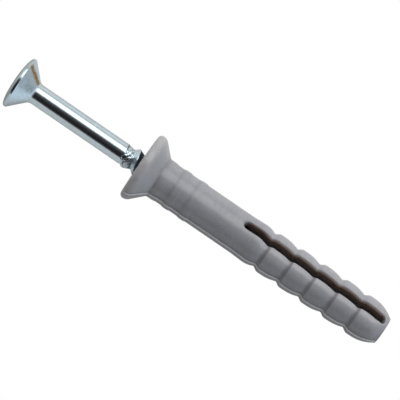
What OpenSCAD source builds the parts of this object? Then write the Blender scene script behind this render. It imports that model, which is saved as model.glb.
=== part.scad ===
// Nylon hammer fixing: a countersunk nylon sleeve with its nail screw set into it.
// +X runs along the fixing, from the head to the tip. The origin is the centre of the flange's top
// face, which lies flush with the fixed part when the fixing is in the wall. +Z is along the slot.
// Lengths are in millimetres and angles in degrees.

/* [Sleeve] */
// Length from the flange's top face to the tip
sleeve_l = 40; // [32:0.5:60]
// Diameter of the plain body
body_d = 5.85; // [5:0.05:7]
// Diameter of the flat end at the tip
tip_d = 4.1; // [3:0.1:4.6]
// Radius that rounds the edge of the flat end
tip_round = 0.2; // [0.05:0.05:0.4]

/* [Flange] */
// Diameter of the flange's rim
flange_d = 10.1; // [9.6:0.1:13]
// Radius that rounds the rim at the top face
rim_top_round = 0.6; // [0.2:0.05:0.8]
// Radius that rounds the rim into the cone below it
rim_under_round = 1.2; // [0.4:0.1:1.6]
// How far the collar at the foot of the cone stands out of the body
collar_rise = 0.105; // [0.05:0.005:0.3]
// Length of the collar, with its slope down to the body
collar_l = 1.5; // [1:0.1:3]
// Length of the collar's slope
collar_slope_l = 0.5; // [0.2:0.1:0.9]

/* [Grip rings] */
// Number of rings round the body below the collar
ring_count = 2; // [0:1:3]
// Gap from the collar to the first ring
ring_gap = 0.8; // [0.3:0.1:2]
// Distance from one ring to the next
ring_pitch = 2.6; // [2:0.1:4]
// How far a ring stands out of the body
ring_rise = 0.1; // [0.05:0.01:0.25]
// Length of a ring's slope on the head side
ring_slope_l = 0.45; // [0.2:0.05:0.8]
// Length of a ring's top
ring_top_l = 0.8; // [0.4:0.05:1]
// Length of a ring's drop on the tip side
ring_drop_l = 0.1; // [0.05:0.05:0.3]

/* [Barbs] */
// Number of barbs on the expanding end
barb_count = 5; // [3:1:6]
// Distance from one barb to the next
barb_pitch = 3.67; // [3:0.01:4.5]
// Diameter over the barbs
barb_d = 6.12; // [5.9:0.01:7]
// Depth of the groove between two barbs
groove_depth = 0.39; // [0.2:0.01:0.6]
// Length of the floor of each groove
groove_floor_l = 0.1; // [0.05:0.05:0.3]
// Length of the shoulder that rises from a groove
shoulder_l = 0.55; // [0.3:0.05:1]
// Length over which the shoulder rounds into the barb's top
shoulder_round_l = 0.35; // [0.2:0.05:0.6]
// Length of the flat part of a barb's top
barb_top_l = 0.5; // [0.2:0.1:0.9]
// Length from the last groove to the tip
last_barb_l = 4.82; // [4:0.02:6]
// Length of the slope that swells from the plain body to the first groove's edge
swelling_rise_l = 2.1; // [1:0.1:3]
// Length of the bend from that slope down into the first groove
swelling_bend_l = 1.6; // [1:0.1:2.2]
// How far the tops of the collar, rings and barbs fall towards the tip, on the radius
top_fall = 0.01; // [0.005:0.005:0.05]

/* [Slot and bore] */
// Width of the slot that splits the expanding end
slot_w = 1.3; // [0.8:0.1:2]
// Length of the slot ahead of the first groove
slot_lead = 4.05; // [2:0.05:6]
// Thickness of the bridge that joins the two legs at the tip
bridge_l = 0.5; // [0.4:0.1:2]
// Length over which the bore narrows to the hole that the nail screw drives apart
wedge_l = 4.6; // [3:0.1:8]
// Diameter of that narrow hole
wedge_d = 1.8; // [1.2:0.1:2.4]
// Thickness of the closed end ahead of the narrow hole
end_wall = 1.2; // [0.8:0.1:3]

/* [Nail screw] */
// Distance that the point stops short of the sleeve's tip when it is driven home
point_gap = 4; // [2:0.5:8]
// Diameter of the plain shank
shank_d = 3; // [2.6:0.1:3.4]
// Length of the thread, with its run-in and the point
thread_l = 18.9; // [12:0.1:22]
// Diameter over the thread
thread_d = 3.6; // [3.2:0.1:4.2]
// Diameter at the root of the thread
root_d = 2.56; // [2.2:0.02:2.8]
// Distance from one turn of the thread to the next
thread_pitch = 2; // [1.4:0.1:2.6]
// Length of the thread's steep flank, which faces the head
steep_flank_l = 0.5; // [0.3:0.05:0.8]
// Width of the thread's crest
crest_w = 0.1; // [0.05:0.05:0.2]
// Width of the flat root between two turns
root_w = 0.25; // [0.1:0.05:0.4]
// Length over which the thread grows out of the shank
run_in_l = 1; // [0.5:0.05:2.5]
// Length of the taper from the shank to the root of the thread
shank_taper_l = 1; // [0.5:0.1:2]
// Angle between the two sides of the point
point_angle = 40; // [25:5:70]

/* [Nail screw head] */
// Diameter of the countersunk head
head_d = 7.68; // [6.5:0.02:8.4]
// Angle between the two sides of the countersink
head_angle = 94; // [80:1:100]
// Thickness of the head's cylindrical rim
head_rim = 0.28; // [0.1:0.02:0.5]
// Height of the dome on the head
dome_h = 0.72; // [0.3:0.02:1.5]
// Radius of the fillet between the countersink and the shank
neck_round = 1; // [0.4:0.1:1.5]
// Span of the cross recess at the top of the dome
recess_d = 4.3; // [3:0.1:5]
// Depth of the cross recess from the top of the dome
recess_depth = 2.2; // [1.2:0.1:2.6]
// Span of the cross recess at its floor
recess_floor_d = 1.9; // [1.2:0.1:2.4]
// Width of one wing of the cross recess
wing_w = 0.9; // [0.5:0.1:1.2]
// Diameter of the round core where the wings meet, at the top of the dome
recess_core_d = 2.4; // [1.5:0.1:3]

/* [Fits] */
// Clearance between the thread and the bore, on the radius
thread_clear = 0.1; // [0.05:0.05:0.3]
// Clearance between the head and its seat in the flange
seat_clear = 0.08; // [0.04:0.02:0.2]
// Gap between the point and the narrowing of the bore before the nail screw is driven
preset_gap = 0.15; // [0.05:0.05:1]

/* [Hidden] */
$fn = 72;

// A shoulder rounds into the barb's top over this share of the groove's depth
edge_share = 0.1;
// Points per rounded stretch, and steps in one turn of the thread
arc_steps = 8;
turn_steps = 36;
// The thread starts this far inside the shank, and this far round from +Y
buried_l = 0.4;
thread_phase = 136;
// The core is this much smaller than the shank where it leaves it, on the radius
shank_step = 0.05;
// The share of the thread's depth that it has where it leaves the shank
start_depth = 0.3;

// Places along the sleeve, measured from the flange's top face
body_r = body_d / 2;
flange_r = flange_d / 2;
barb_r = barb_d / 2;
collar_r = body_r + collar_rise;
groove_r = barb_r - groove_depth;
shoulder_r = barb_r - groove_depth * edge_share;
cone_x = rim_top_round + rim_under_round * sin(45);
cone_r = flange_r - rim_under_round * (1 - cos(45));
collar_x = cone_x + cone_r - collar_r;
first_ring_x = collar_x + collar_l + ring_gap;
first_groove_x = sleeve_l - last_barb_l - (barb_count - 1) * barb_pitch;
slot_x = first_groove_x - slot_lead;
slot_end_x = sleeve_l - bridge_l;
bore_r = thread_d / 2 + thread_clear;
seat_r = head_d / 2 + seat_clear;

// Places along the nail screw
nail_l = sleeve_l - point_gap;
point_x = slot_x - preset_gap;
head_x = point_x - nail_l;
head_r = head_d / 2;
shank_r = shank_d / 2;
crest_r = thread_d / 2;
root_r = root_d / 2;
cone_l = (head_r - shank_r) / tan(head_angle / 2);
shank_end_x = point_x - thread_l;

// Points on a curve that leaves the radius r0 level with the axis at x0 and bends in to r1 at x1
function bend_in(x0, r0, x1, r1, steps) =
    let (l = x1 - x0, drop = r0 - r1, bend_r = (l * l + drop * drop) / (2 * drop))
    [for (i = [1:steps]) let (dx = l * i / steps)
        [r0 - bend_r + sqrt(bend_r * bend_r - dx * dx), x0 + dx]];

// Points on a round corner of radius r about (cx, cr), from angle a0 to a1, where 0 points outwards
function corner(cx, cr, r, a0, a1) =
    [for (i = [0:arc_steps]) let (a = a0 + (a1 - a0) * i / arc_steps)
        [cr + r * cos(a), cx + r * sin(a)]];

function ring_outline(x) = [
    [body_r, x],
    [body_r + ring_rise, x + ring_slope_l],
    [body_r + ring_rise - top_fall, x + ring_slope_l + ring_top_l],
    [body_r, x + ring_slope_l + ring_top_l + ring_drop_l]];

// One barb: groove floor, shoulder with a rounded top, flat top, and the bend down to its far end
function barb_outline(x, end_x, end_r) =
    let (rise_x = x + groove_floor_l, round_x = rise_x + shoulder_l, top_x = round_x + shoulder_round_l)
    concat(
        [[groove_r, x], [groove_r, rise_x], [shoulder_r, round_x], [barb_r, top_x],
         [barb_r - top_fall, top_x + barb_top_l]],
        bend_in(top_x + barb_top_l, barb_r - top_fall, end_x, end_r, arc_steps));

// The outline of the sleeve as [radius, place along the axis]
function sleeve_outline() = concat(
    [[0, 0]],
    corner(rim_top_round, flange_r - rim_top_round, rim_top_round, -90, 0),
    corner(rim_top_round, flange_r - rim_under_round, rim_under_round, 5, 45),
    [[collar_r, collar_x],
     [collar_r - top_fall, collar_x + collar_l - collar_slope_l],
     [body_r, collar_x + collar_l]],
    [for (i = [0:1:ring_count - 1]) each ring_outline(first_ring_x + i * ring_pitch)],
    swelling_outline(),
    [for (i = [0:1:barb_count - 2]) each barb_outline(first_groove_x + i * barb_pitch,
        first_groove_x + (i + 1) * barb_pitch - groove_floor_l / 2, groove_r)],
    barb_outline(sleeve_l - last_barb_l, sleeve_l - tip_round, tip_d / 2),
    corner(sleeve_l - tip_round, tip_d / 2 - tip_round, tip_round, 10, 90),
    [[0, sleeve_l]]);

// The swelling rises slowly from the plain body and bends in to the first groove
function swelling_outline() =
    let (top_x = first_groove_x - swelling_bend_l)
    concat(
        [[body_r, top_x - swelling_rise_l], [shoulder_r, top_x]],
        bend_in(top_x, shoulder_r, first_groove_x - groove_floor_l / 2, groove_r, arc_steps));

// The bore with the head's seat at its mouth and the narrow hole at its far end
function bore_outline() =
    let (seat_l = (seat_r - bore_r) / tan(head_angle / 2))
    [[0, -1], [seat_r, -1], [seat_r, head_rim], [bore_r, head_rim + seat_l], [bore_r, slot_x],
     [wedge_d / 2, slot_x + wedge_l], [wedge_d / 2, sleeve_l - end_wall - wedge_d / 4],
     [0, sleeve_l - end_wall]];

// Turns an outline about the X axis
module revolve(outline) {
    rotate([0, 90, 0]) rotate_extrude() polygon(outline);
}

module slot() {
    slot_r = slot_w / 2;
    linear_extrude(flange_d, center = true) {
        translate([slot_x + slot_r, 0]) circle(slot_r);
        translate([slot_end_x - slot_r, 0]) circle(slot_r);
        translate([slot_x + slot_r, -slot_r]) square([slot_end_x - slot_x - slot_w, slot_w]);
    }
}

module sleeve() {
    color("darkgray")
    difference() {
        revolve(sleeve_outline());
        revolve(bore_outline());
        slot();
    }
}

// The head and shank: elliptical dome, rim, countersink, neck fillet and plain shank
function nail_outline() =
    let (half = head_angle / 2,
         rim_x = head_x + head_rim,
         centre_x = rim_x + cone_l + neck_round * tan(half / 2))
    concat(
        [for (i = [0:arc_steps * 2]) let (a = 90 * i / (arc_steps * 2))
            [head_r * sin(a), head_x - dome_h * cos(a)]],
        [[head_r, rim_x]],
        [for (i = [0:arc_steps]) let (a = half * (1 - i / arc_steps))
            [shank_r + neck_round * (1 - cos(a)), centre_x - neck_round * sin(a)]],
        [[shank_r, shank_end_x], [0, shank_end_x]]);

// One turn of the thread: offset along the axis, and share of the thread's depth
turn_profile = [
    [0, 0],
    [steep_flank_l, 1],
    [steep_flank_l + crest_w, 1],
    [(steep_flank_l + crest_w + thread_pitch - root_w) / 2, 0.5],
    [thread_pitch - root_w, 0]];
thread_start_x = shank_end_x - thread_pitch - buried_l;
turns_l = point_x - thread_start_x - thread_pitch - crest_w;
thread_rows = floor(turns_l / thread_pitch * turn_steps);

// The radius between the thread's ridges: it tapers from the end of the shank to the root
function core_r(x) = max(root_r,
    shank_r - shank_step - max(0, x - shank_end_x) * (shank_r - shank_step - root_r) / shank_taper_l);

// The thread's depth at x, as a share of its full depth: it grows over the run-in
function thread_growth(x) = min(1, start_depth + (1 - start_depth) * max(0, x - shank_end_x) / run_in_l);

// The point of the thread's surface at step t along the helix and corner k of its profile
function thread_point(t, k) =
    let (x = thread_start_x + thread_pitch * t / turn_steps + turn_profile[k][0],
         a = 360 * t / turn_steps + thread_phase,
         ridge_r = root_r + (crest_r - root_r) * turn_profile[k][1] * thread_growth(x),
         r = min(max(ridge_r, core_r(x)), (point_x - x) * tan(point_angle / 2)))
    [x, r * cos(a), r * sin(a)];

// The thread as one closed surface: a strip wound round the axis, closed at both ends by fans.
// Row t + one turn starts where row t ends, so neighbouring turns share their points.
module thread() {
    corners = len(turn_profile);
    rows = thread_rows + turn_steps + 1;
    points = concat(
        [for (t = [0:rows - 1], k = [0:corners - 1]) thread_point(t, k)],
        [[thread_start_x + thread_pitch / 2, 0, 0], [point_x, 0, 0]]);
    start_hub = rows * corners;
    end_hub = start_hub + 1;
    function at(t, k) = k < corners ? t * corners + k : (t + turn_steps) * corners;
    start_loop = concat(
        [for (t = [0:turn_steps]) at(t, 0)],
        [for (k = [corners - 1:-1:1]) at(0, k)]);
    end_loop = concat(
        [for (t = [0:turn_steps - 1]) at(thread_rows + t, 0)],
        [for (k = [corners:-1:1]) at(thread_rows, k)]);
    polyhedron(points, concat(
        [for (t = [0:thread_rows - 1], k = [0:corners - 1])
            each [[at(t, k), at(t + 1, k + 1), at(t + 1, k)], [at(t, k), at(t, k + 1), at(t + 1, k + 1)]]],
        [for (i = [0:len(start_loop) - 1])
            [start_hub, start_loop[i], start_loop[(i + 1) % len(start_loop)]]],
        [for (i = [0:len(end_loop) - 1])
            [end_hub, end_loop[(i + 1) % len(end_loop)], end_loop[i]]]));
}

// The driver's recess: four wings that narrow with depth, and a round core.
// It is cut from outside the dome by the margin, at the slope that it has below the dome's top.
module cross_recess() {
    margin = 0.5;
    cut_l = recess_depth + margin;
    span_slope = (recess_d - recess_floor_d) / 2 / recess_depth;
    core_slope = (recess_core_d - wing_w) / 2 / recess_depth;
    translate([head_x - dome_h - margin, 0, 0]) rotate([0, 90, 0]) {
        intersection() {
            for (a = [0, 90])
                rotate(a) translate([-recess_d, -wing_w / 2, 0]) cube([2 * recess_d, wing_w, cut_l]);
            cylinder(h = cut_l, r1 = recess_d / 2 + margin * span_slope, r2 = recess_floor_d / 2);
        }
        cylinder(h = cut_l, r1 = recess_core_d / 2 + margin * core_slope, r2 = wing_w / 2);
    }
}

module nail_screw() {
    color("silver")
    difference() {
        union() {
            revolve(nail_outline());
            thread();
        }
        cross_recess();
    }
}

sleeve();
nail_screw();
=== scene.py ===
import math

import bpy
import numpy as np
from mathutils import Matrix, Vector


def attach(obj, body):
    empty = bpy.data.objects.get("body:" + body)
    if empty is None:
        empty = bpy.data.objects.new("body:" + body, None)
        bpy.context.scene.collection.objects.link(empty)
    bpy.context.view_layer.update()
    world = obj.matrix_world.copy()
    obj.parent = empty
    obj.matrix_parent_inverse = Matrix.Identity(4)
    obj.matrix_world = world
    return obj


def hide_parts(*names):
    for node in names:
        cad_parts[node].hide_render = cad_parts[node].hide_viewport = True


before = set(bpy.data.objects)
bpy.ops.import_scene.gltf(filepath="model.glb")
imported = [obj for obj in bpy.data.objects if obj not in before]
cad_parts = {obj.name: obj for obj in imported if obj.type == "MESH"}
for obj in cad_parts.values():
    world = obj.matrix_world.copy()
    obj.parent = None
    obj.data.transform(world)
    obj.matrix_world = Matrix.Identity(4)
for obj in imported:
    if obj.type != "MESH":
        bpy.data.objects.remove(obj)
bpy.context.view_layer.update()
print("frame loaded")

# the fixing lies along X, its head towards -X and its tip towards +X, with the flange's top face at 0 and the
# slot along Z; the pieces' dictionaries give lengths in mm and angles in degrees
mm = 0.001
nearly = 1e-4           # mm, less than two rows can lie apart
tiny = 1e-6             # mm, the least radius that anything is divided by
mergeBelow = 2e-7       # metres, points closer than this become one
sharpAngle = 35.0       # an edge that turns by more stays sharp


def gauss(distance, width):
    # exp(-(distance / width)^2 / 2)
    return np.exp(-0.5 * (distance / width) ** 2)


def smooth(values, width):
    # each value becomes the mean of its neighbours, weighted by exp(-(k / width)^2 / 2)
    reach = int(math.ceil(3 * width))
    weights = gauss(np.arange(-reach, reach + 1), width)
    padded = np.pad(values, reach, mode="edge")
    return np.convolve(padded, weights / weights.sum(), mode="valid")


def softStep(value):
    # 0 below 0, 1 above 1, and t^2 (3 - 2 t) between
    t = np.clip(value, 0, 1)
    return t * t * (3 - 2 * t)


def risesFrom(value, place, over):
    # 0 up to the place, 1 from place + over on, and a soft step between
    return softStep((value - place) / over)


def fallsTo(value, place, over):
    # 1 up to place - over, 0 from the place on, and a soft step between
    return softStep((place - value) / over)


def gridFaces(rows, columns, wraps, start=0):
    # quads between row i and i + 1 and column j and j + 1; with wraps the last column meets the first
    last = columns if wraps else columns - 1
    i, j = np.meshgrid(np.arange(rows - 1), np.arange(last), indexing="ij")
    k = (j + 1) % columns
    quads = np.stack([i * columns + j, i * columns + k, (i + 1) * columns + k, (i + 1) * columns + j], -1)
    return quads.reshape(-1, 4) + start


def addPiece(name, points, faces, shade, body, node, material):
    # points in metres and faces as rows of four indices become one closed mesh on a body; shade is painted
    # shade, mostly by how deep each point lies in a hollow, below 0 for a painted highlight, and the
    # materials read it
    mesh = bpy.data.meshes.new(name)
    mesh.from_pydata(points.tolist(), [], faces.tolist())
    values = np.ascontiguousarray(shade, np.float32)
    mesh.attributes.new("shade", "FLOAT", "POINT").data.foreach_set("value", values)
    piece = bpy.data.objects.new(name, mesh)
    bpy.context.scene.collection.objects.link(piece)
    bpy.context.view_layer.objects.active = piece
    weld = piece.modifiers.new("weld", "WELD")
    weld.merge_threshold = mergeBelow
    held = bpy.context.evaluated_depsgraph_get()
    welded = bpy.data.meshes.new_from_object(piece.evaluated_get(held), preserve_all_data_layers=True,
                                             depsgraph=held)
    piece.modifiers.clear()
    piece.data = welded
    bpy.data.meshes.remove(mesh)
    welded.name = name
    welded.validate()
    welded.shade_smooth()
    welded.set_sharp_from_angle(angle=math.radians(sharpAngle))
    welded.materials.append(material)
    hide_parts(node)
    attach(piece, body)
    print(f"{name}: {len(welded.vertices)} points, {len(welded.polygons)} faces")
    return piece


def newTree(name):
    # a material with one shader, and its empty tree
    material = bpy.data.materials.new(name)
    material.use_nodes = True
    tree = material.node_tree
    tree.nodes.clear()
    output = tree.nodes.new("ShaderNodeOutputMaterial")
    shader = tree.nodes.new("ShaderNodeBsdfPrincipled")
    tree.links.new(shader.outputs["BSDF"], output.inputs["Surface"])
    return material, tree, shader


def add(tree, kind, inputs=None, **settings):
    # one node with its settings, and its inputs as numbers or as other nodes' outputs
    node = tree.nodes.new("ShaderNode" + kind)
    for key, value in settings.items():
        setattr(node, key, value)
    for key, value in (inputs or {}).items():
        if isinstance(value, bpy.types.NodeSocket):
            tree.links.new(value, node.inputs[key])
        else:
            node.inputs[key].default_value = value
    return node


def ramp(tree, factor, stops):
    # straight lines through (place, grey or colour) stops
    node = add(tree, "ValToRGB", {"Fac": factor})
    while len(node.color_ramp.elements) < len(stops):
        node.color_ramp.elements.new(0.5)
    for element, (place, value) in zip(node.color_ramp.elements, stops):
        element.position = place
        element.color = (value, value, value, 1) if isinstance(value, (int, float)) else (*value, 1)
    return node.outputs["Color"]


def noise(tree, place, scale, detail, roughness=0.5):
    # a noise texture's value at the place
    return add(tree, "TexNoise", {"Vector": place, "Scale": scale, "Detail": detail,
                                  "Roughness": roughness}).outputs["Fac"]


def soften(tree, value, low, high):
    # 0 below low, 1 above high, a soft step between; low may lie above high
    node = add(tree, "MapRange", {"Value": value, "From Min": low, "From Max": high},
               interpolation_type="SMOOTHSTEP")
    return node.outputs["Result"]


def fade(tree, place, ends):
    # the same between two places that are given in mm
    return soften(tree, place, ends[0] * mm, ends[1] * mm)


def stretch(tree, value, ends, toEnds=(0.0, 1.0)):
    # a straight line from toEnds[0] at ends[0] to toEnds[1] at ends[1], level past both
    node = add(tree, "MapRange", {"Value": value, "From Min": ends[0], "From Max": ends[1],
                                  "To Min": toEnds[0], "To Max": toEnds[1]})
    return node.outputs["Result"]


def reckon(tree, operation, *values):
    # one operation on numbers or other nodes' outputs
    return add(tree, "Math", dict(enumerate(values)), operation=operation).outputs[0]


def times(tree, first, *others):
    # the product of all of them
    for other in others:
        first = reckon(tree, "MULTIPLY", first, other)
    return first


def blend(tree, share, first, second, how="MIX"):
    # colours mixed by share, from first to second
    node = add(tree, "Mix", data_type="RGBA", blend_type=how)
    sockets = {i.identifier: i for i in node.inputs}
    for key, value in (("Factor_Float", share), ("A_Color", first), ("B_Color", second)):
        if isinstance(value, bpy.types.NodeSocket):
            tree.links.new(value, sockets[key])
        else:
            sockets[key].default_value = value if key == "Factor_Float" else (*value, 1)
    return next(o for o in node.outputs if o.identifier == "Result_Color")


def bumpOf(tree, height, strength, distance, normal=None):
    # a bump by height, its distance in mm, on top of another bump's normal
    inputs = {"Strength": strength, "Distance": distance * mm, "Height": height}
    if normal is not None:
        inputs["Normal"] = normal
    return add(tree, "Bump", inputs).outputs["Normal"]


# the sleeve; its turns go round the axis from -Y towards +Z, and its pairs are (place, over how far)
sleeve = {
    "length": 40.0, "bodyRadius": 2.925, "tipRadius": 2.05, "tipRound": 0.2,
    "flangeRadius": 5.05, "rimTopRound": 0.6, "rimUnderRound": 1.2, "coneSlope": 45.0,
    "collarStart": 3.117, "collarLength": 1.5, "collarSlope": 0.5, "collarRise": 0.105,
    "ringStarts": (5.417, 8.017), "ringRise": 0.1, "ringSlope": 0.45, "ringTop": 0.7, "ringDrop": 0.25,
    "firstGroove": 20.5, "barbPitch": 3.67, "barbCount": 5, "barbRadius": 3.06, "grooveDepth": 0.39,
    "edgeShare": 0.1, "grooveFloor": 0.1, "shoulder": 0.55, "shoulderRound": 0.35, "barbTop": 0.5,
    "topFall": 0.01, "swellingRise": 2.1, "swellingBend": 1.6,
    "cornerSoftness": 0.05,                     # how far the mould's corners are rounded
    "slotStart": 16.3, "slotEnd": 39.4, "slotHalfWidth": 0.505, "slotEdgeRound": 0.5,
    # the legs' tops slope a little into the slot
    "leanFrom": (18.5, 2.0), "leanTo": (39.0, 1.0), "leanReach": 1.7, "leanSlope": 0.34,
    "seatRadius": 3.92, "seatDepth": 0.28, "seatSlope": 47.0, "seatEdge": 0.05, "boreRadius": 1.9,
    "narrowRadius": 0.9, "narrowingLength": 4.6, "narrowEnd": 38.35, "boreEnd": 38.8,
    "partingTurns": (-2.0, 178.0), "partingHeight": 0.1, "partingWidth": 0.14,
    "partingGroove": 0.035, "partingGrooveAt": 0.34, "partingGrooveWidth": 0.09,
    "partingFrom": (0.2, 0.5), "partingTo": (39.95, 0.3),
    "tickCount": 5, "firstTick": 11.5, "tickPitch": 0.95, "tickTurn": 93.0,
    "tickHeight": 0.065, "tickWidth": 0.2, "tickSpan": 0.75, "tickEdge": 0.17,
    # painted shade: below 0 where a highlight is painted on the parting ridges, up to 0.45 in the grooves,
    # and from insideShade to 1 inside
    "insideShade": 0.5,
    "darkDepth": 1.35,                          # down the slot's wall, where hardly any light is left
    "boreDarkFrom": 0.8, "boreDarkOver": 2.4,
    "partingShade": 0.45, "partingShadeUnder": 0.3,
    "hollowAfter": 0.44, "hollowBefore": 0.33, "hollowBehind": 0.09, "hollowShade": 0.4,
    "collarHollow": 0.1, "collarHollowShare": 0.5,
    "ringHollow": 0.2, "ringHollowShare": 0.4, "ringHollowBehind": 0.2,
    # the grooves' painted shade fades on the side away from this turn, by the cosine of the angle between
    "hollowSide": 28.0, "hollowFade": 0.8, "hollowFadeTo": (0.57, 0.36),
    # where the mesh has its rows and columns: spans are (from, to, step)
    "outlineFrom": 0.9, "outlineStep": 0.01, "sharpBefore": 1.6, "sharpAtTip": 0.15,
    "tipSteps": 7, "rimSteps": 7, "underSteps": 8, "coneSteps": 9, "coneRowsTo": 3.0, "slotEndSteps": 9,
    "wallSteps": 10,
    "rowSpans": ((3.04, 4.9, 0.085), (4.9, 9.7, 0.085), (9.8, 11, 0.3), (11, 15.7, 0.065), (15.8, 16.3, 0.05),
                 (17.1, 20.2, 0.2), (38.8, 39.8, 0.09)),
    "grooveRows": (-0.21, 1.15, 0.07), "barbRows": (1.3, 3.4, 0.2), "barbRowsTo": 38.8, "rowGap": 0.03,
    "tipFaceRadii": (0, 0.4, 0.9, 1.4, 1.7), "topFaceRadius": 4.2,
    "seatRows": (1.0, 1.6), "boreRows": (3.0, 5.0, 9.0, 13.0),
    "columns": (0, .005, .011, .019, .03, .045, .07, .1, .13, .15, .17, .19, .21, .23, .25, .27, .31, .36,
                .42, .49, .56, .63, .7, .77, .83, .87, .895, .912, .926, .94, .952, .964, .975, .984, .992,
                1.0),
}


def coneStart():
    # x and radius where the rim's under rounding has turned to the cone's slope:
    # x = top round + under round sin(slope), r = flange radius - under round (1 - cos(slope))
    s = sleeve
    slope = math.radians(s["coneSlope"])
    return (round(s["rimTopRound"] + s["rimUnderRound"] * math.sin(slope), 4),
            round(s["flangeRadius"] - s["rimUnderRound"] * (1 - math.cos(slope)), 4))


def boreExit():
    # where the bore's closing cone, r = narrowRadius (boreEnd - x) / (boreEnd - narrowEnd), is as thin as the
    # slot: x = boreEnd - half width (boreEnd - narrowEnd) / narrowRadius
    s = sleeve
    return s["boreEnd"] - s["slotHalfWidth"] * (s["boreEnd"] - s["narrowEnd"]) / s["narrowRadius"]


def bendIn(x, x0, r0, x1, r1):
    # a circle that leaves the radius r0 level with the axis at x0 and bends in to r1 at x1:
    # r = r0 - bend + sqrt(bend^2 - (x - x0)^2)
    length, drop = x1 - x0, r0 - r1
    bend = (length ** 2 + drop ** 2) / (2 * drop)
    return r0 - bend + np.sqrt(bend ** 2 - (x - x0) ** 2)


def sleeveRadius(x):
    # the outline between the flange and the tip: straight stretches through the knots, and circles behind
    # each barb's top, then smoothed along the axis so that the corners are as soft as moulded ones
    s = sleeve
    tipStart = s["length"] - s["tipRound"]
    xs = np.arange(s["outlineFrom"], tipStart + s["outlineStep"] / 2, s["outlineStep"])
    grooveRadius = s["barbRadius"] - s["grooveDepth"]
    shoulderRadius = s["barbRadius"] - s["grooveDepth"] * s["edgeShare"]
    collarRadius = s["bodyRadius"] + s["collarRise"]
    collarEnd = s["collarStart"] + s["collarLength"]
    knots = [(s["outlineFrom"], s["flangeRadius"]), coneStart(), (s["collarStart"], collarRadius),
             (collarEnd - s["collarSlope"], collarRadius - s["topFall"]), (collarEnd, s["bodyRadius"])]
    for start in s["ringStarts"]:
        top = start + s["ringSlope"]
        knots += [(start, s["bodyRadius"]), (top, s["bodyRadius"] + s["ringRise"]),
                  (top + s["ringTop"], s["bodyRadius"] + s["ringRise"] - s["topFall"]),
                  (top + s["ringTop"] + s["ringDrop"], s["bodyRadius"])]
    bendStart = s["firstGroove"] - s["swellingBend"]
    knots += [(bendStart - s["swellingRise"], s["bodyRadius"]), (bendStart, shoulderRadius)]
    bends = [(bendStart, shoulderRadius, s["firstGroove"] - s["grooveFloor"] / 2, grooveRadius)]
    for k in range(s["barbCount"]):
        groove = s["firstGroove"] + k * s["barbPitch"]
        rise = groove + s["grooveFloor"]
        top = rise + s["shoulder"] + s["shoulderRound"]
        topEnd = top + s["barbTop"]
        last = k == s["barbCount"] - 1
        endX = tipStart if last else groove + s["barbPitch"] - s["grooveFloor"] / 2
        endR = s["tipRadius"] if last else grooveRadius
        knots += [(groove - s["grooveFloor"] / 2, grooveRadius), (rise, grooveRadius),
                  (rise + s["shoulder"], shoulderRadius), (top, s["barbRadius"]),
                  (topEnd, s["barbRadius"] - s["topFall"])]
        bends.append((topEnd, s["barbRadius"] - s["topFall"], endX, endR))
    knots.append((tipStart, s["tipRadius"]))
    radius = np.interp(xs, *zip(*knots))
    for x0, r0, x1, r1 in bends:
        inside = (xs >= x0) & (xs <= x1)
        radius[inside] = bendIn(xs[inside], x0, r0, x1, r1)
    soft = smooth(radius, s["cornerSoftness"] / s["outlineStep"])
    # the rim's and the tip's own roundings start from the true radius
    keep = (xs < s["sharpBefore"]) | (xs > tipStart - s["sharpAtTip"])
    soft[keep] = radius[keep]
    return np.interp(x, xs, soft)


def sleeveRows():
    # places along the axis where the outside has a row of points, from the tip to the cone
    s = sleeve
    coneX = coneStart()[0]
    fixed = np.round([coneX, s["slotStart"], s["narrowEnd"], boreExit(), s["slotEnd"],
                      s["length"] - s["tipRound"]], 5)
    roundEnd = s["slotHalfWidth"] * (1 - np.cos(np.linspace(0, np.pi / 2, s["slotEndSteps"])))
    grooves = s["firstGroove"] + s["barbPitch"] * np.arange(s["barbCount"])[:, None]
    onBarbs = (grooves + np.arange(*s["barbRows"])).ravel()
    spans = [np.arange(*span) for span in s["rowSpans"]]
    rows = np.concatenate([
        np.linspace(coneX, s["coneRowsTo"], s["coneSteps"]), *spans, s["slotStart"] + roundEnd,
        s["slotEnd"] - roundEnd, (grooves + np.arange(*s["grooveRows"])).ravel(),
        onBarbs[onBarbs < s["barbRowsTo"]], fixed])
    rows = np.unique(np.round(rows, 5))
    apart = np.concatenate([[True], np.diff(rows) > s["rowGap"]])
    return rows[apart | np.isin(rows, fixed)][::-1]


def outsideRows(bodyX):
    # x and radius of the outside's rows: the tip's face and rounding, the outline, the rim and the top face;
    # a rounding of radius e turns by x = e sin(t), r = e (1 - cos(t))
    s = sleeve
    tip = np.radians(np.linspace(90, 0, s["tipSteps"]))[1:-1]
    under = np.radians(np.linspace(s["coneSlope"], 0, s["underSteps"]))[1:]
    rim = np.radians(np.linspace(0, 90, s["rimSteps"]))[1:]
    face = [*s["tipFaceRadii"], s["tipRadius"] - s["tipRound"]]
    x = np.concatenate([
        np.full(len(face), s["length"]), s["length"] - s["tipRound"] * (1 - np.sin(tip)), bodyX,
        s["rimTopRound"] + s["rimUnderRound"] * np.sin(under), s["rimTopRound"] * (1 - np.sin(rim)), [0, 0]])
    r = np.concatenate([
        face, s["tipRadius"] - s["tipRound"] * (1 - np.cos(tip)), sleeveRadius(bodyX),
        s["flangeRadius"] - s["rimUnderRound"] * (1 - np.cos(under)),
        s["flangeRadius"] - s["rimTopRound"] * (1 - np.cos(rim)),
        [s["topFaceRadius"], s["seatRadius"] + s["seatEdge"]]])
    return x, r


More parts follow.
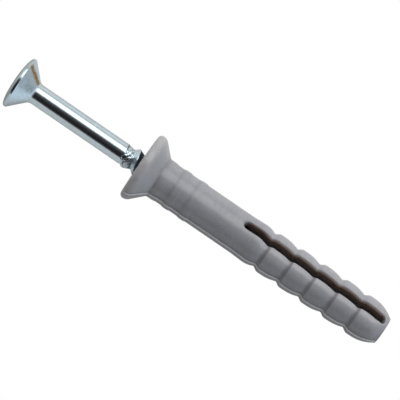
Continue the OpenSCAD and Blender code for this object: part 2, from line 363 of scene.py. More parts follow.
def insideRows(bodyX):
    # x, radius and shade of the rows inside, from the seat's edge to where the bore has closed to the slot:
    # straight stretches through the knots
    s = sleeve
    seatEnd = s["seatDepth"] + (s["seatRadius"] - s["boreRadius"]) / math.tan(math.radians(s["seatSlope"]))
    inSlot = (bodyX > s["slotStart"]) & (bodyX < boreExit() + nearly)
    x = np.concatenate([
        [s["seatEdge"], s["seatDepth"], *s["seatRows"], seatEnd, *s["boreRows"], s["slotStart"]],
        bodyX[inSlot][::-1]])
    knots = [(s["seatEdge"], s["seatRadius"]), (s["seatDepth"], s["seatRadius"]), (seatEnd, s["boreRadius"]),
             (s["slotStart"], s["boreRadius"]), (s["slotStart"] + s["narrowingLength"], s["narrowRadius"]),
             (s["narrowEnd"], s["narrowRadius"]), (s["boreEnd"], 0)]
    dark = np.clip((x - s["boreDarkFrom"]) / s["boreDarkOver"], 0, 1)
    shade = s["insideShade"] + (1 - s["insideShade"]) * dark
    return x, np.interp(x, *zip(*knots)), np.where(x < seatEnd + nearly, 0, shade)


def slotHalfWidthAt(x):
    # half the slot's width at x: straight sides with a half circle at each end, 0 outside the slot
    s = sleeve
    r = s["slotHalfWidth"]
    before = (s["slotStart"] + r) - x
    behind = x - (s["slotEnd"] - r)
    past = np.clip(np.maximum(before, behind), 0, r)
    return np.where((x >= s["slotStart"]) & (x <= s["slotEnd"]), np.sqrt(r ** 2 - past ** 2), 0.0)


def distanceFromSlot(x, y):
    # distance in the XY plane from the slot's outline, 0 inside it
    s = sleeve
    r = s["slotHalfWidth"]
    alongX = np.maximum(np.maximum((s["slotStart"] + r) - x, x - (s["slotEnd"] - r)), 0)
    return np.maximum(np.sqrt(alongX ** 2 + y ** 2) - r, 0)


def sleeveQuadrant():
    # one quarter, from the slot's middle plane to the Y axis: rows run along the whole outline, and columns
    # turn from the slot's edge, at asin(half width / r) from +Z, to +Y
    s = sleeve
    bodyX = sleeveRows()
    x, r = outsideRows(bodyX)
    boreX, boreR, boreShade = insideRows(bodyX)
    rowsX, rowsR = np.concatenate([x, boreX]), np.concatenate([r, boreR])
    outer, columns = len(x), np.array(s["columns"])
    w = slotHalfWidthAt(rowsX)
    start = np.arcsin(np.clip(w / np.maximum(rowsR, tiny), 0, 1))
    turn = start[:, None] + (np.pi / 2 - start[:, None]) * columns[None, :]
    px = np.repeat(rowsX[:, None], len(columns), 1)
    py = rowsR[:, None] * np.sin(turn)
    pz = rowsR[:, None] * np.cos(turn)
    # the slot's edges are rounded: the surface drops by e - sqrt(e^2 - (e - d)^2) at distance d
    e = s["slotEdgeRound"]
    d = distanceFromSlot(px[:outer], py[:outer])
    drop = e - np.sqrt(np.maximum(e ** 2 - np.maximum(e - d, 0) ** 2, 0))
    # and the legs' tops lean towards it, by slope / (2 reach) (reach - d)^2
    lean = risesFrom(x, *s["leanFrom"]) * fallsTo(x, *s["leanTo"])
    drop += lean[:, None] * (s["leanSlope"] / (2 * s["leanReach"]) * np.maximum(s["leanReach"] - d, 0) ** 2)
    pz[:outer] = np.maximum(pz[:outer] - drop, 0)
    shade = [np.zeros(px[:outer].size), np.repeat(boreShade, len(columns))]
    isOut = [np.repeat(np.arange(len(rowsX)) < outer, len(columns))]
    points = [np.stack([px, py, pz], -1).reshape(-1, 3)]
    faces = [gridFaces(len(rowsX), len(columns), False)]
    # the slot's wall, straight from the rounded edge to the bore, or to the middle where there is no bore
    wallRows = np.flatnonzero((x >= s["slotStart"]) & (x <= s["slotEnd"]))
    wallX, wallW, wallTop = x[wallRows], w[wallRows], pz[wallRows, 0]
    wallFoot = np.sqrt(np.maximum(np.interp(wallX, boreX, boreR) ** 2 - wallW ** 2, 0))
    wallFoot = np.where(wallX > boreExit() + nearly, 0, wallFoot)
    steps = s["wallSteps"]
    wallZ = wallTop[:, None] + (wallFoot - wallTop)[:, None] * np.linspace(0, 1, steps)[None, :]
    wall = np.stack([np.repeat(wallX[:, None], steps, 1), np.repeat(wallW[:, None], steps, 1), wallZ], -1)
    faces.append(gridFaces(len(wallRows), steps, False, len(points[0]))[:, ::-1])
    points.append(wall.reshape(-1, 3))
    depth = (wallTop[:, None] - wallZ).ravel()
    shade.append(s["insideShade"] + (1 - s["insideShade"]) * np.clip(depth / s["darkDepth"], 0, 1))
    isOut.append(np.zeros(depth.size, bool))
    return np.concatenate(points), np.concatenate(faces), np.concatenate(shade), np.concatenate(isOut)


def addRelief(points, shade, isOut):
    # moves the outside's points along their radius: two parting lines, each a gauss ridge between two shallow
    # grooves, and a row of plain ticks, products of two soft steps; painted shade grows in the grooves and
    # goes below 0 on the ridges, for a painted highlight
    s = sleeve
    x, y, z = points.T
    radius = np.hypot(y, z)
    turn = np.arctan2(z, -y)
    onLine = risesFrom(x, *s["partingFrom"]) * fallsTo(x, *s["partingTo"]) * isOut
    height = np.zeros(len(x))
    for line in s["partingTurns"]:
        away = (turn - math.radians(line) + math.pi) % (2 * math.pi) - math.pi
        arc = np.abs(away) * radius
        groove = gauss(arc - s["partingGrooveAt"], s["partingGrooveWidth"])
        ridge = gauss(arc, s["partingWidth"])
        height += (s["partingHeight"] * ridge - s["partingGroove"] * groove) * onLine
        shadeOf = s["partingShade"] * np.where(away > 0, 1, s["partingShadeUnder"])
        shade = shade + (shadeOf * groove - ridge) * onLine
    ticks = s["firstTick"] + s["tickPitch"] * np.arange(s["tickCount"])
    along = np.min(np.abs(x[:, None] - ticks[None, :]), axis=1)
    across = np.abs(turn - math.radians(s["tickTurn"])) * radius
    tick = fallsTo(along, s["tickWidth"], s["tickEdge"]) * fallsTo(across, s["tickSpan"], s["tickEdge"])
    height += s["tickHeight"] * tick * isOut
    # the hollows beside the cone and in each barb's groove get painted shade
    barbs, rings = s["barbCount"], len(s["ringStarts"])
    hollows = np.concatenate([
        s["firstGroove"] + s["barbPitch"] * np.arange(barbs) + s["hollowAfter"],
        [s["collarStart"] + s["collarHollow"]], np.array(s["ringStarts"]) + s["ringHollow"]])
    weights = np.array([1] * barbs + [s["collarHollowShare"]] + [s["ringHollowShare"]] * rings)
    isGroove = np.arange(len(weights)) < barbs
    away = fallsTo(np.cos(turn - math.radians(s["hollowSide"])), *s["hollowFadeTo"])
    weights = weights * (1 - s["hollowFade"] * away[:, None] * isGroove)
    near = x[:, None] - hollows[None, :]
    behind = np.where(isGroove, s["hollowBehind"], s["ringHollowBehind"])
    width = np.where(near < 0, s["hollowBefore"], behind)
    shade = shade + s["hollowShade"] * np.sum(weights * gauss(near, width), axis=1) * isOut
    scale = 1 + height / np.maximum(radius, tiny)
    return np.stack([x, y * scale, z * scale], -1), shade


def makeSleeve(material):
    # the quarter and its three reflections in the slot's plane and across it; one reflection turns the faces
    # round, and two turn them back
    quarter, quads, shade, isOut = sleeveQuadrant()
    points, faces = [], []
    for flipY, flipZ in ((1, 1), (-1, 1), (-1, -1), (1, -1)):
        faces.append((quads if flipY * flipZ > 0 else quads[:, ::-1]) + len(quarter) * len(points))
        points.append(quarter * np.array([1, flipY, flipZ]))
    points, shade = addRelief(np.concatenate(points), np.tile(shade, 4), np.tile(isOut, 4))
    return addPiece("nylon_sleeve", points * mm, np.concatenate(faces), shade, "sleeve", "sleeve",
                    material)


# the nylon; a noise is (scale, detail, roughness), a bump is (strength, mm), and other pairs say where a
# share starts and where it is whole: in the noise, along the axis, across the slot or in shade
nylon = {
    "dark": (0.326, 0.326, 0.352), "light": (0.377, 0.377, 0.403),
    "cloud": (420.0, 5.0, 0.65), "cloudEnds": (0.3, 0.7),
    "paintedFlangeLight": (1.10, 1.09, 1.07), "coneEnds": (3.1, 2.9),     # painted light: the flange is a little lighter than the body
    "paintedRimLight": (1.20, 1.19, 1.14), "rimEnds": (1.7, 0.9),       # painted light: its rim is lighter and warmer
    # painted shade in the grooves
    "groove": (0.17, 0.165, 0.185), "grooveShade": (0.0, 0.45),
    "wall": (0.33, 0.285, 0.255), "wallShade": (0.46, 0.52),    # painted shade with warm scattered light, on the slot's wall at its top
    "paintedHollowDark": (0.04, 0.038, 0.052),                             # painted shade deep in the slot and the bore
    "paintedHollowStops": ((0.0, 0.0), (0.5, 0.0), (0.66, 0.4), (0.8, 0.8), (1.0, 1.0)),
    "paintedRidgeLight": (0.80, 0.80, 0.82), "paintedRidgeLightEnds": (-0.05, -0.6),   # a painted highlight on the parting line's ridge
    # painted highlight: the legs are a little lighter beside the slot
    "paintedLegLight": (1.15, 1.15, 1.13), "legFrom": (18.5, 20.5), "legTo": (39.6, 38.6), "legAcross": (2.75, 1.9),
    # painted shade: the slot's edges are darker and browner, warm as of light scattered in the nylon
    "paintedEdgeShade": (0.78, 0.60, 0.48), "edgeFrom": (16.6, 17.2), "edgeTo": (39.3, 38.8),
    "edgeAcross": (0.84, 0.52), "edgeShade": (0.85, 0.55),
    "wave": (800.0, 3.0), "waveEnds": (0.3, 0.7), "roughness": (0.21, 0.33), "waveBump": (0.3, 0.08),
    "grain": (4200.0, 4.0, 0.7), "grainBump": (0.35, 0.02),
    "satin": 0.85, "ior": 1.52,
}


def makeNylon():
    # a cloudy grey with painted light and shade: lighter, darker or browner by place and by shade, with a
    # fine grain on a broad wave
    n = nylon
    material, tree, shader = newTree("greyNylon")
    place = add(tree, "TexCoord").outputs["Object"]
    split = add(tree, "SeparateXYZ", {"Vector": place})
    along = split.outputs["X"]
    across = reckon(tree, "ABSOLUTE", split.outputs["Y"])
    shade = add(tree, "Attribute", attribute_name="shade").outputs["Fac"]
    tint = ramp(tree, noise(tree, place, *n["cloud"]), list(zip(n["cloudEnds"], (n["dark"], n["light"]))))
    # painted light: the flange lighter, and its rim lighter and warmer
    tint = blend(tree, fade(tree, along, n["coneEnds"]), tint, n["paintedFlangeLight"], "MULTIPLY")
    tint = blend(tree, fade(tree, along, n["rimEnds"]), tint, n["paintedRimLight"], "MULTIPLY")
    # painted shade in the grooves
    tint = blend(tree, soften(tree, shade, *n["grooveShade"]), tint, n["groove"])
    # painted shade: the slot's wall and the bore darker with depth, warm at the wall's top
    tint = blend(tree, soften(tree, shade, *n["wallShade"]), tint, n["wall"])
    tint = blend(tree, ramp(tree, shade, n["paintedHollowStops"]), tint, n["paintedHollowDark"])
    # painted highlight on the parting ridges, where the shade is below 0
    tint = blend(tree, soften(tree, shade, *n["paintedRidgeLightEnds"]), tint, n["paintedRidgeLight"])
    # painted highlight: the legs lighter beside the slot
    onLegs = times(tree, fade(tree, along, n["legFrom"]), fade(tree, along, n["legTo"]),
                   fade(tree, across, n["legAcross"]))
    tint = blend(tree, onLegs, tint, n["paintedLegLight"], "MULTIPLY")
    # painted shade: the slot's edges darker and browner
    inSlot = times(tree, fade(tree, along, n["edgeFrom"]), fade(tree, along, n["edgeTo"]))
    onEdge = times(tree, fade(tree, across, n["edgeAcross"]), inSlot, soften(tree, shade, *n["edgeShade"]))
    tint = blend(tree, onEdge, tint, n["paintedEdgeShade"], "MULTIPLY")
    tree.links.new(tint, shader.inputs["Base Color"])
    wave = noise(tree, place, *n["wave"])
    tree.links.new(stretch(tree, wave, n["waveEnds"], n["roughness"]), shader.inputs["Roughness"])
    fine = bumpOf(tree, noise(tree, place, *n["grain"]), *n["grainBump"])
    tree.links.new(bumpOf(tree, wave, *n["waveBump"], fine), shader.inputs["Normal"])
    shader.inputs["IOR"].default_value = n["ior"]
    shader.inputs["Specular IOR Level"].default_value = n["satin"]
    return material


# the nail screw; its turns go round the axis from +Y towards +Z, and its pairs are (place, over how far)
nail = {
    "headTop": -19.7, "headRadius": 3.84, "domeHeight": 0.75, "domeFullness": 2.5, "rim": 0.17,
    "headSlope": 45.6, "neckRound": 1.0, "shankRadius": 1.5, "shankEnd": -2.6,
    "pointX": 16.3, "pointSlope": 20.0,
    "rootRadius": 1.28, "crestRadius": 1.8, "pitch": 2.0, "coreStart": 1.45, "coreTaper": 1.0,
    "startDepth": 0.3, "runIn": 1.0, "startEase": 0.15, "shankEase": 0.12, "crestOffset": 0.55,
    "crestX": -1.04, "crestTurn": 34.0,         # a crest passes this place at this turn
    # the thread's profile: places along one pitch, and how much of the thread's depth stands there
    "profile": ((0.0, 0.0), (0.5, 1.0), (0.6, 1.0), (1.175, 0.5), (1.75, 0.0), (2.0, 0.0)),
    "profileStep": 0.01, "profileSoftness": 0.04,
    # the blank's end is uneven, by up to unevenBy, and has small bumps, where the rolled thread begins; a
    # wave is (size, waves round the axis, radians per mm along it, start)
    "unevenBy": 0.2, "unevenFrom": (-3.1, 0.3), "unevenTo": (-1.2, 0.6),
    "unevenWaves": ((1.0, 3, 0, 1.0), (0.7, 7, 11, 0), (0.5, 11, -17, 0)),
    "bumpsFrom": (-2.5, 0.3), "bumpsTo": (-0.7, 0.4), "bumpWaves": ((0.03, 9, 23, 0), (1.0, 5, -13, 0)),
    "recessSpan": 4.3, "recessFloorSpan": 1.9, "recessDepth": 2.2, "wingWidth": 0.9, "coreSpan": 2.4,
    "wallRun": 0.04,                            # across, over which the wings' steep walls fall
    # painted shade: the thread's root, from just behind the crest, and a dark seam behind the first, flat
    # turn
    "rootAfter": (0.04, 0.08), "rootBefore": (1.6, 0.3), "rootFrom": (-1.3, 0.2),
    "seamBehind": 0.3, "seamWidth": 0.11, "seamWaves": ((0.06, 5, 0, 0.5), (0.04, 11, 0, 0)),
    "seamFrom": (-2.95, 0.15), "seamTo": (-1.45, 0.2), "seamShade": 0.85, "seamShadeWave": (0.15, 7, 0, 0),
    # where the mesh has its rows and columns: spans are (from, to, step)
    "linesInWing": (0, 0.16, 0.3),
    "linesOutside": (0.62, 0.8, 0.95, 1.08, 1.2, 1.4, 1.62, 1.85, 2.05, 2.15, 2.3),
    "ringRadius": 3.45, "ringSteps": 6, "domeSteps": 12, "neckSteps": 11, "evenAfter": 30.0,
    "rimRows": (0.14, 0.06, 0.025, 0.01), "rimEase": (0, 0, 0, 0.003),
    "coneRows": (0.012, 0.03, 0.08, 0.25, 0.5, 0.8, 1.1, 1.4), "coneGap": 0.05,
    "shankRows": (-16, -3.2, 0.8), "threadSpans": ((-3.1, 0.6, 0.035), (0.6, 14.6, 0.085)),
    "pointFrom": 14.6, "pointTo": 16.25, "pointSteps": 28,
}


def domeX(rho):
    # a superellipse: (height above the rim / dome height)^p + (rho / head radius)^p = 1
    n = nail
    p = n["domeFullness"]
    return n["headTop"] - n["domeHeight"] * np.maximum(1 - (rho / n["headRadius"]) ** p, 0) ** (1 / p)


def recessDepthAt(y, z):
    # how deep the cross recess is below the dome's top: the deeper of two wings, which narrow with depth by
    # (half span - |u|) / slope, and of a round core, (half span - rho) / slope
    n = nail
    depth = n["recessDepth"]

    def wing(u, v):
        slope = (n["recessSpan"] - n["recessFloorSpan"]) / 2 / depth
        alongWing = (n["recessSpan"] / 2 - np.abs(u)) / slope
        acrossWing = (n["wingWidth"] / 2 - np.abs(v)) / n["wallRun"] * depth
        return np.minimum(alongWing, acrossWing)

    coreSlope = (n["coreSpan"] - n["wingWidth"]) / 2 / depth
    core = (n["coreSpan"] / 2 - np.hypot(y, z)) / coreSlope
    return np.clip(np.maximum(np.maximum(wing(y, z), wing(z, y)), core), 0, depth)


def behindCrest(x, turn):
    # mm along the axis from the helix's crest: (x - crestX - pitch (turn - crestTurn) / 360) mod pitch
    n = nail
    return (x - n["crestX"] - n["pitch"] * (np.degrees(turn) - n["crestTurn"]) / 360) % n["pitch"]


def wave(x, turn, size, rounds, perMm, start):
    # size sin(rounds turn + perMm x + start)
    return size * np.sin(rounds * turn + perMm * x + start)


def threadRadius(x, turn):
    # r = root + depth share(place in the profile) growth(x), and never below the core or above the point's
    # cone, (pointX - x) tan(pointSlope)
    n = nail
    waves = n["unevenWaves"]
    uneven = n["unevenBy"] * sum(wave(x, turn, *w) for w in waves) / sum(w[0] for w in waves)
    x = x + uneven * risesFrom(x, *n["unevenFrom"]) * fallsTo(x, *n["unevenTo"])
    fine = np.arange(0, n["pitch"], n["profileStep"])
    share = np.interp(fine, *zip(*n["profile"]))
    share = smooth(np.tile(share, 3), n["profileSoftness"] / n["profileStep"])[len(fine):2 * len(fine)]
    inProfile = (behindCrest(x, turn) + n["crestOffset"]) % n["pitch"]
    share = np.interp(inProfile, np.append(fine, n["pitch"]), np.append(share, share[0]))
    growth = np.clip(n["startDepth"] + (1 - n["startDepth"]) * (x - n["shankEnd"]) / n["runIn"], 0, 1)
    growth = growth * np.clip((x - n["shankEnd"] + n["startEase"]) / n["startEase"], 0, 1)
    ridge = n["rootRadius"] + (n["crestRadius"] - n["rootRadius"]) * share * growth
    taper = np.clip((x - n["shankEnd"]) / n["coreTaper"], 0, 1)
    core = n["coreStart"] + (n["rootRadius"] - n["coreStart"]) * taper
    ease = np.clip((x - n["shankEnd"]) / n["shankEase"], 0, 1)
    core = core + (n["shankRadius"] - n["coreStart"]) * (1 - ease)
    core = np.where(x < n["shankEnd"], n["shankRadius"], core)
    bumps = wave(x, turn, *n["bumpWaves"][0]) * wave(x, turn, *n["bumpWaves"][1])
    bumps = bumps * risesFrom(x, *n["bumpsFrom"]) * fallsTo(x, *n["bumpsTo"])
    point = (n["pointX"] - x) * math.tan(math.radians(n["pointSlope"]))
    return np.minimum(np.maximum(ridge, core) + bumps, np.maximum(point, 0))


def headSquare():
    # the dome's middle on a square grid, dense at the recess's walls, and its border's indices by their turn;
    # x is the deeper of the dome and the recess
    n = nail
    half = n["wingWidth"] / 2
    lines = np.array([*n["linesInWing"], half - n["wallRun"], half, *n["linesOutside"]])
    lines = np.concatenate([-lines[:0:-1], lines])
    y, z = np.meshgrid(lines, lines, indexing="ij")
    x = np.maximum(domeX(np.hypot(y, z)), domeX(0) + recessDepthAt(y, z))
    square = np.stack([x, y, z], -1).reshape(-1, 3)
    border = np.flatnonzero(np.abs(square[:, 1:]).max(axis=1) == lines[-1])
    turns = np.arctan2(square[border, 2], square[border, 1])
    order = np.argsort(turns, kind="stable")
    return square, gridFaces(len(lines), len(lines), False), border[order], turns[order]


def headAndShank():
    # x and radius of the rows from the dome's ring to the thread: rest of the dome, rim, cone, neck and
    # shank; the dome's angle t gives x = headTop - dome height cos(t)^(2 / p), r = head radius sin(t)^(2 / p)
    n = nail
    power = 2 / n["domeFullness"]
    fromTurn = math.asin((n["ringRadius"] / n["headRadius"]) ** (1 / power))
    dome = np.linspace(fromTurn, np.pi / 2, n["domeSteps"])[1:]
    rimX = n["headTop"] + n["rim"]
    slope = math.radians(n["headSlope"])
    coneLength = (n["headRadius"] - n["shankRadius"]) / math.tan(slope)
    centreX = rimX + coneLength + n["neckRound"] * math.tan(slope / 2)
    neck = slope * (1 - np.linspace(0, 1, n["neckSteps"]))
    neckX = centreX - n["neckRound"] * np.sin(neck)
    neckR = n["shankRadius"] + n["neckRound"] * (1 - np.cos(neck))
    coneX = rimX + np.array(n["coneRows"])
    coneX = coneX[coneX < neckX[0] - n["coneGap"]]
    shankX = np.arange(*n["shankRows"])
    x = np.concatenate([n["headTop"] - n["domeHeight"] * np.maximum(np.cos(dome), 0) ** power,
                        rimX - np.array(n["rimRows"]), coneX, neckX, shankX])
    r = np.concatenate([n["headRadius"] * np.sin(dome) ** power, n["headRadius"] - np.array(n["rimEase"]),
                        np.interp(coneX, [rimX, neckX[0]], [n["headRadius"], neckR[0]]), neckR,
                        np.full(len(shankX), n["shankRadius"])])
    return x, r


def threadShade(x, turn):
    # soft steps along the pitch in the root, and a gauss across the seam, whose place and shade wave with the
    # turn
    n = nail
    behind = behindCrest(x, turn)
    root = risesFrom(behind, *n["rootAfter"]) * fallsTo(behind, *n["rootBefore"])
    root = root * risesFrom(x, *n["rootFrom"])
    seam = behind - n["seamBehind"] + sum(wave(x, turn, *w) for w in n["seamWaves"])
    dark = n["seamShade"] + wave(x, turn, *n["seamShadeWave"])
    onRunIn = risesFrom(x, *n["seamFrom"]) * fallsTo(x, *n["seamTo"])
    return np.maximum(root, dark * gauss(seam, n["seamWidth"]) * onRunIn)


def makeNail(material):
    # a square of points on the dome, then rows round the axis, (x, r cos(t), r sin(t)), from its border to
    # the point; their turns t blend from the square's own to even ones
    n = nail
    square, inner, border, turns = headSquare()
    even = turns[0] + np.arange(len(border)) * 2 * np.pi / len(border)
    even += np.mean(turns - even)

    def rowsOf(x, r, t):
        return np.stack([x + 0 * t, r * np.cos(t), r * np.sin(t)], -1)

    # square to circle on the dome
    share = np.linspace(0, 1, n["ringSteps"])[1:, None]
    cornerR = np.hypot(square[border, 1], square[border, 2])[None, :]
    rho = cornerR + (n["ringRadius"] - cornerR) * share
    rows = [rowsOf(domeX(rho), rho, turns[None, :])]
    x, r = headAndShank()
    evenness = np.clip(np.arange(len(x)) / n["evenAfter"], 0, 1)[:, None]
    rows.append(rowsOf(x[:, None], r[:, None], turns[None, :] + (even - turns)[None, :] * evenness))
    # the thread's rows lie across the axis, and their radius comes from the helix
    x = np.concatenate([np.arange(*span) for span in n["threadSpans"]]
                       + [np.linspace(n["pointFrom"], n["pointTo"], n["pointSteps"])])[:, None]
    t = even[None, :] + 0 * x
    rows.append(rowsOf(x, threadRadius(x + 0 * t, t), t))
    rows.append(np.repeat(np.array([[[n["pointX"], 0.0, 0.0]]]), len(border), 1))
    skin = np.concatenate(rows)
    outer = skin.reshape(-1, 3)
    # the first ring of faces joins the square's border to the first round row
    k = np.arange(len(border))
    nextK = (k + 1) % len(border)
    first = np.stack([border[k], border[nextK], len(square) + nextK, len(square) + k], -1)
    faces = np.concatenate([inner, first, gridFaces(len(skin), len(border), True, len(square))])
    belowDome = square[:, 0] - domeX(np.hypot(square[:, 1], square[:, 2]))
    # painted shade: by depth in the recess, and in the thread's root and seam
    shade = np.concatenate([np.clip(belowDome / n["recessDepth"], 0, 1),
                            threadShade(outer[:, 0], np.arctan2(outer[:, 2], outer[:, 1]))])
    return addPiece("zinc_nail_screw", np.concatenate([square, outer]) * mm, faces, shade, "nail_screw",
                    "nail_screw", material)


# the plating, in the same terms as the nylon; the rust's turn goes round the axis from -Y towards +Z
zinc = {
    "grey": (0.62, 0.71, 0.73), "blue": (0.66, 0.78, 0.83),
    "cloud": (700.0, 5.0, 0.65), "cloudEnds": (0.35, 0.65),
    "mottle": (0.86, 0.87, 0.89), "crystals": (4200.0, 3.0, 0.6), "crystalEnds": (0.62, 0.36),
    "domeTint": (0.76, 0.73, 0.69), "domeEnds": (-19.68, -19.8),    # the dome is a little browner and duller
    # painted shade: a dark tint in the thread's root, on its seam and in the recess, broken up by streaks
    "paintedShadeTint": (0.05, 0.06, 0.08), "streaks": (2100.0, 3.0), "streakEnds": (0.68, 0.5), "paintedShadeShare": 0.92,
    "recessEnds": (-16.5, -17.0), "recessShade": (-0.02, 0.16), "recessShadeShare": 0.88, "recessRough": 0.4,
    "rust": (0.26, 0.14, 0.026), "rustTurn": 103.5, "rustFrom": (-19.8, -19.3), "rustTo": (-17.2, -17.45),
    "rustAcross": (0.682, 0.155), "rustSide": (0.0, 1.0), "rustOutside": (0.5, 0.1),
    "rustWobble": (1500.0, 3.0), "rustWobbleBy": 0.6, "rustBreaks": (0.36, 0.56), "rustLeast": 0.68,
    "rustMatt": 0.8, "rustRough": 0.35,
    "stain": (0.30, 0.29, 0.27), "stainAcross": (1.1, 0.2), "blots": (1100.0, 3.0), "blotEnds": (0.4, 0.65),
    "stainShare": 0.3,
    "roughness": 0.12, "specks": (2600.0, 3.0), "speckEnds": (0.3, 0.7), "speckRough": (-0.04, 0.05),
    "speckBump": (0.08, 0.03),
    "coneFrom": (-19.47, -19.42), "coneTo": (-17.0, -17.3),     # the head's cone is duller than the shank
    "coneRough": 0.16, "coneBump": (0.35, 0.05),
    "runInFrom": (-2.8, -2.2), "runInTo": (-0.4, -1.0),         # and the thread's first turn is pitted
    "pits": (1500.0, 4.0, 0.65), "pitDistance": 0.08,
}


def makeZinc():
    # two tones with darker crystals, painted shade by the shade attribute, a rust run with its stain,
    # roughness and bumps by place
    z = zinc
    material, tree, shader = newTree("zincPlating")
    place = add(tree, "TexCoord").outputs["Object"]
    along = add(tree, "SeparateXYZ", {"Vector": place}).outputs["X"]
    shade = add(tree, "Attribute", attribute_name="shade").outputs["Fac"]
    tint = ramp(tree, noise(tree, place, *z["cloud"]), list(zip(z["cloudEnds"], (z["grey"], z["blue"]))))
    crystals = soften(tree, noise(tree, place, *z["crystals"]), *z["crystalEnds"])
    tint = blend(tree, crystals, tint, z["mottle"], "MULTIPLY")
    tint = blend(tree, fade(tree, along, z["domeEnds"]), tint, z["domeTint"], "MULTIPLY")
    streak = noise(tree, place, *z["streaks"])
    # painted shade from the shade attribute, broken up by streaks, and deeper in the recess
    streakedShade = times(tree, shade, soften(tree, streak, *z["streakEnds"]), z["paintedShadeShare"])
    tint = blend(tree, streakedShade, tint, z["paintedShadeTint"])
    recess = times(tree, soften(tree, shade, *z["recessShade"]), fade(tree, along, z["recessEnds"]))
    tint = blend(tree, times(tree, recess, z["recessShadeShare"]), tint, z["paintedShadeTint"])
    # a thin rust run on the head's cone, near the half plane through the axis at rustTurn: side is the
    # distance from the plane, and outward the distance from the axis in it
    sine, cosine = math.sin(math.radians(z["rustTurn"])), math.cos(math.radians(z["rustTurn"]))
    side, outward = (
        add(tree, "VectorMath", {0: place, 1: direction}, operation="DOT_PRODUCT").outputs["Value"]
        for direction in ((0.0, sine, cosine), (0.0, -cosine, sine)))
    by = z["rustWobbleBy"] * mm
    wobble = reckon(tree, "MULTIPLY_ADD", noise(tree, place, *z["rustWobble"]), by, -by / 2)
    offset = reckon(tree, "ABSOLUTE", reckon(tree, "ADD", wobble, side))
    reach = times(tree, fade(tree, along, z["rustFrom"]), fade(tree, along, z["rustTo"]),
                  fade(tree, outward, z["rustSide"]), soften(tree, recess, *z["rustOutside"]))
    broken = stretch(tree, streak, z["rustBreaks"], (z["rustLeast"], 1.0))
    rust = times(tree, fade(tree, offset, z["rustAcross"]), reach, broken)
    blot = soften(tree, noise(tree, place, *z["blots"]), *z["blotEnds"])
    around = times(tree, fade(tree, offset, z["stainAcross"]), reach, blot, z["stainShare"])
    tint = blend(tree, around, tint, z["stain"])
    tint = blend(tree, rust, tint, z["rust"])
    tree.links.new(tint, shader.inputs["Base Color"])
    metal = reckon(tree, "SUBTRACT", 1.0, times(tree, rust, z["rustMatt"]))
    tree.links.new(metal, shader.inputs["Metallic"])
    speck = noise(tree, place, *z["specks"])
    cone = times(tree, fade(tree, along, z["coneFrom"]), fade(tree, along, z["coneTo"]))
    rough = reckon(tree, "MULTIPLY_ADD", rust, z["rustRough"], z["roughness"])
    rough = reckon(tree, "ADD", rough, times(tree, cone, z["coneRough"]))
    rough = reckon(tree, "ADD", rough, times(tree, recess, z["recessRough"]))
    rough = reckon(tree, "ADD", rough, stretch(tree, speck, z["speckEnds"], z["speckRough"]))
    tree.links.new(rough, shader.inputs["Roughness"])
    runIn = times(tree, fade(tree, along, z["runInFrom"]), fade(tree, along, z["runInTo"]))
    pits = noise(tree, place, *z["pits"])
    pitted = bumpOf(tree, pits, runIn, z["pitDistance"])
    coneStrength, coneDistance = z["coneBump"]
    formed = bumpOf(tree, pits, times(tree, cone, coneStrength), coneDistance, pitted)
    tree.links.new(bumpOf(tree, speck, *z["speckBump"], formed), shader.inputs["Normal"])
    return material


# the room that the plating and the nylon mirror
room = {
    "turn": 4.0,                        # degrees, by which the whole room is turned round the X axis
    # radiance by the angle round the axis, from -Y towards +Z
    "stops": [(-180, 0.70), (-170, 0.60), (-157, 0.70), (-138, 0.76), (-122, 0.38), (-104, 0.30), (-86, 0.50),
              (-62, 0.62), (-5, 0.64), (3, 0.10), (17, 0.018), (28, 0.016), (39, 0.025), (50, 0.04),
              (60, 0.055), (70, 0.13), (76, 0.33), (81, 0.85), (85, 1.75), (112, 1.8), (121, 1.6), (127, 0.9),
              (131, 0.54), (138, 0.69), (150, 0.90), (165, 0.86), (179, 0.79)],
    "top": 1.8,
    # the light from -X and from +X, each from the back (+Y) and from the front (-Y)
    "headBack": (0.82, 0.85, 0.90), "headFront": (0.30, 0.31, 0.33), "headChange": (0.3, -0.3),
    "tipBack": (0.44, 0.48, 0.52), "tipFront": (0.74, 0.83, 0.93), "tipChange": (0.20, 0.03),
    "endsFrom": 0.45,                   # how far along X a direction points before the ends' light takes over
    "darkTint": (1.12, 0.98, 1.06),     # the dark panel's colour, and the angles where it starts and is whole
    "darkFrom": (-3, 8), "darkTo": (72, 60),
    # the floor's light, its tint, its shares towards the head and the tip, and how much reaches matte skin
    "below": 0.68, "belowTint": (0.96, 0.99, 1.02), "belowShares": (0.8, 1.2), "belowReach": 60.0,
    "matteBelow": 0.20,
    "floorHeight": -5.06,
    "floorSize": 3.0,                   # metres
}


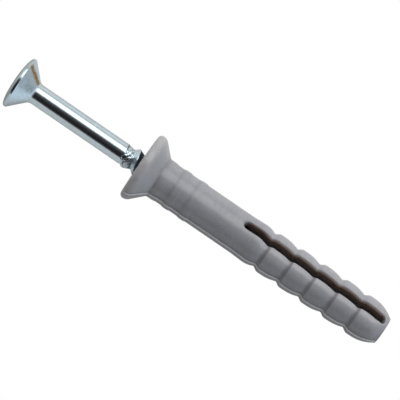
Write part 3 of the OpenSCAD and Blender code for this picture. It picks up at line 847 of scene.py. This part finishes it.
def makeRoom():
    # radiance is a ramp of the angle atan2(z, -y) round the X axis, which gives way to the ends' light
    # towards -X and +X; the camera sees white
    world = bpy.data.worlds.new("studio")
    bpy.context.scene.world = world
    world.use_nodes = True
    tree = world.node_tree
    tree.nodes.clear()
    output = tree.nodes.new("ShaderNodeOutputWorld")
    seen = add(tree, "TexCoord").outputs["Generated"]
    direction = add(tree, "VectorRotate", {"Vector": seen, "Angle": -math.radians(room["turn"])},
                    rotation_type="X_AXIS").outputs["Vector"]
    split = add(tree, "SeparateXYZ", {"Vector": direction})
    angle = reckon(tree, "ARCTAN2", split.outputs["Z"], times(tree, split.outputs["Y"], -1.0))
    share = stretch(tree, angle, (-math.pi, math.pi))
    light = ramp(tree, share, [((a + 180) / 360, v / room["top"]) for a, v in room["stops"]])
    panel = times(tree, soften(tree, angle, *np.radians(room["darkTo"]).tolist()),
                  soften(tree, angle, *np.radians(room["darkFrom"]).tolist()))
    light = blend(tree, panel, light, room["darkTint"], "MULTIPLY")
    for side, towards in (("head", -1.0), ("tip", 1.0)):
        scaled = [tuple(c / room["top"] for c in room[side + end]) for end in ("Back", "Front")]
        colour = blend(tree, soften(tree, split.outputs["Y"], *room[side + "Change"]), *scaled)
        share = soften(tree, split.outputs["X"], room["endsFrom"] * towards, towards)
        light = blend(tree, share, light, colour)
    lit = add(tree, "Background", {"Color": light, "Strength": room["top"]})
    white = add(tree, "Background", {"Color": (1, 1, 1, 1), "Strength": 1.0})
    path = add(tree, "LightPath")
    mix = add(tree, "MixShader", {0: path.outputs["Is Camera Ray"], 1: lit.outputs[0], 2: white.outputs[0]})
    tree.links.new(mix.outputs[0], output.inputs["Surface"])


def makeFloor():
    # a plain sheet under the fixing: white to the camera, grey light from below to matte surfaces, and clear
    # to mirrored light, which the room's ramp gives
    size, height = room["floorSize"] / 2, room["floorHeight"] * mm
    corners = [(-size, -size, height), (size, -size, height), (size, size, height), (-size, size, height)]
    mesh = bpy.data.meshes.new("floor")
    mesh.from_pydata(corners, [], [(0, 1, 2, 3)])
    floor = bpy.data.objects.new("floor", mesh)
    bpy.context.scene.collection.objects.link(floor)
    material = bpy.data.materials.new("paleFloor")
    material.use_nodes = True
    tree = material.node_tree
    tree.nodes.clear()
    output = tree.nodes.new("ShaderNodeOutputMaterial")
    white = add(tree, "Emission", {"Color": (1, 1, 1, 1), "Strength": 1.0})
    along = add(tree, "SeparateXYZ", {"Vector": add(tree, "TexCoord").outputs["Object"]}).outputs["X"]
    reach = room["belowReach"] * mm
    ends = stretch(tree, along, (-reach, reach), [share * room["below"] for share in room["belowShares"]])
    path = add(tree, "LightPath")
    matte = stretch(tree, path.outputs["Is Diffuse Ray"], (0.0, 1.0), (1.0, room["matteBelow"]))
    grey = add(tree, "Emission", {"Color": (*room["belowTint"], 1), "Strength": times(tree, ends, matte)})
    seen = add(tree, "MixShader", {0: path.outputs["Is Camera Ray"], 1: grey.outputs[0], 2: white.outputs[0]})
    clear = add(tree, "BsdfTransparent")
    mix = add(tree, "MixShader", {0: path.outputs["Is Glossy Ray"], 1: seen.outputs[0], 2: clear.outputs[0]})
    tree.links.new(mix.outputs[0], output.inputs["Surface"])
    mesh.materials.append(material)


camera = {
    "tiltInPicture": 34.4,      # degrees, the fixing's axis below the picture's horizontal
    "slotTurn": 34.0,           # degrees, the slot above the line of sight, round the axis
    "distance": 370.0,          # mm
    "seenWidth": 54.34,         # mm across the picture at the fixing
    "aim": (8.195, -4.803),     # mm right and up from the flange's top face
    "sensor": 36.0,             # mm
    "clip": (0.01, 20.0),       # metres
}


def makeCamera():
    # the line of sight lies slotTurn below the slot; right and up are turned by tiltInPicture about it
    turn, tilt = math.radians(camera["slotTurn"]), math.radians(camera["tiltInPicture"])
    back = Vector((0, -math.sin(turn), math.cos(turn)))
    across = Vector((0, math.cos(turn), math.sin(turn)))
    along = Vector((1, 0, 0))
    right = math.cos(tilt) * along + math.sin(tilt) * across
    up = -math.sin(tilt) * along + math.cos(tilt) * across
    aim = (right * camera["aim"][0] + up * camera["aim"][1]) * mm
    data = bpy.data.cameras.new("camera")
    data.sensor_width = camera["sensor"]
    data.lens = camera["sensor"] * camera["distance"] / camera["seenWidth"]
    data.clip_start, data.clip_end = camera["clip"]
    lens = bpy.data.objects.new("camera", data)
    bpy.context.scene.collection.objects.link(lens)
    eye = aim + back * camera["distance"] * mm
    lens.matrix_world = Matrix([(right[i], up[i], back[i], eye[i]) for i in range(3)] + [(0, 0, 0, 1)])
    bpy.context.scene.camera = lens


makeCamera()
makeRoom()
makeFloor()
print("camera, room and floor made")
makeSleeve(makeNylon())
makeNail(makeZinc())
bpy.context.scene.view_settings.view_transform = "Standard"
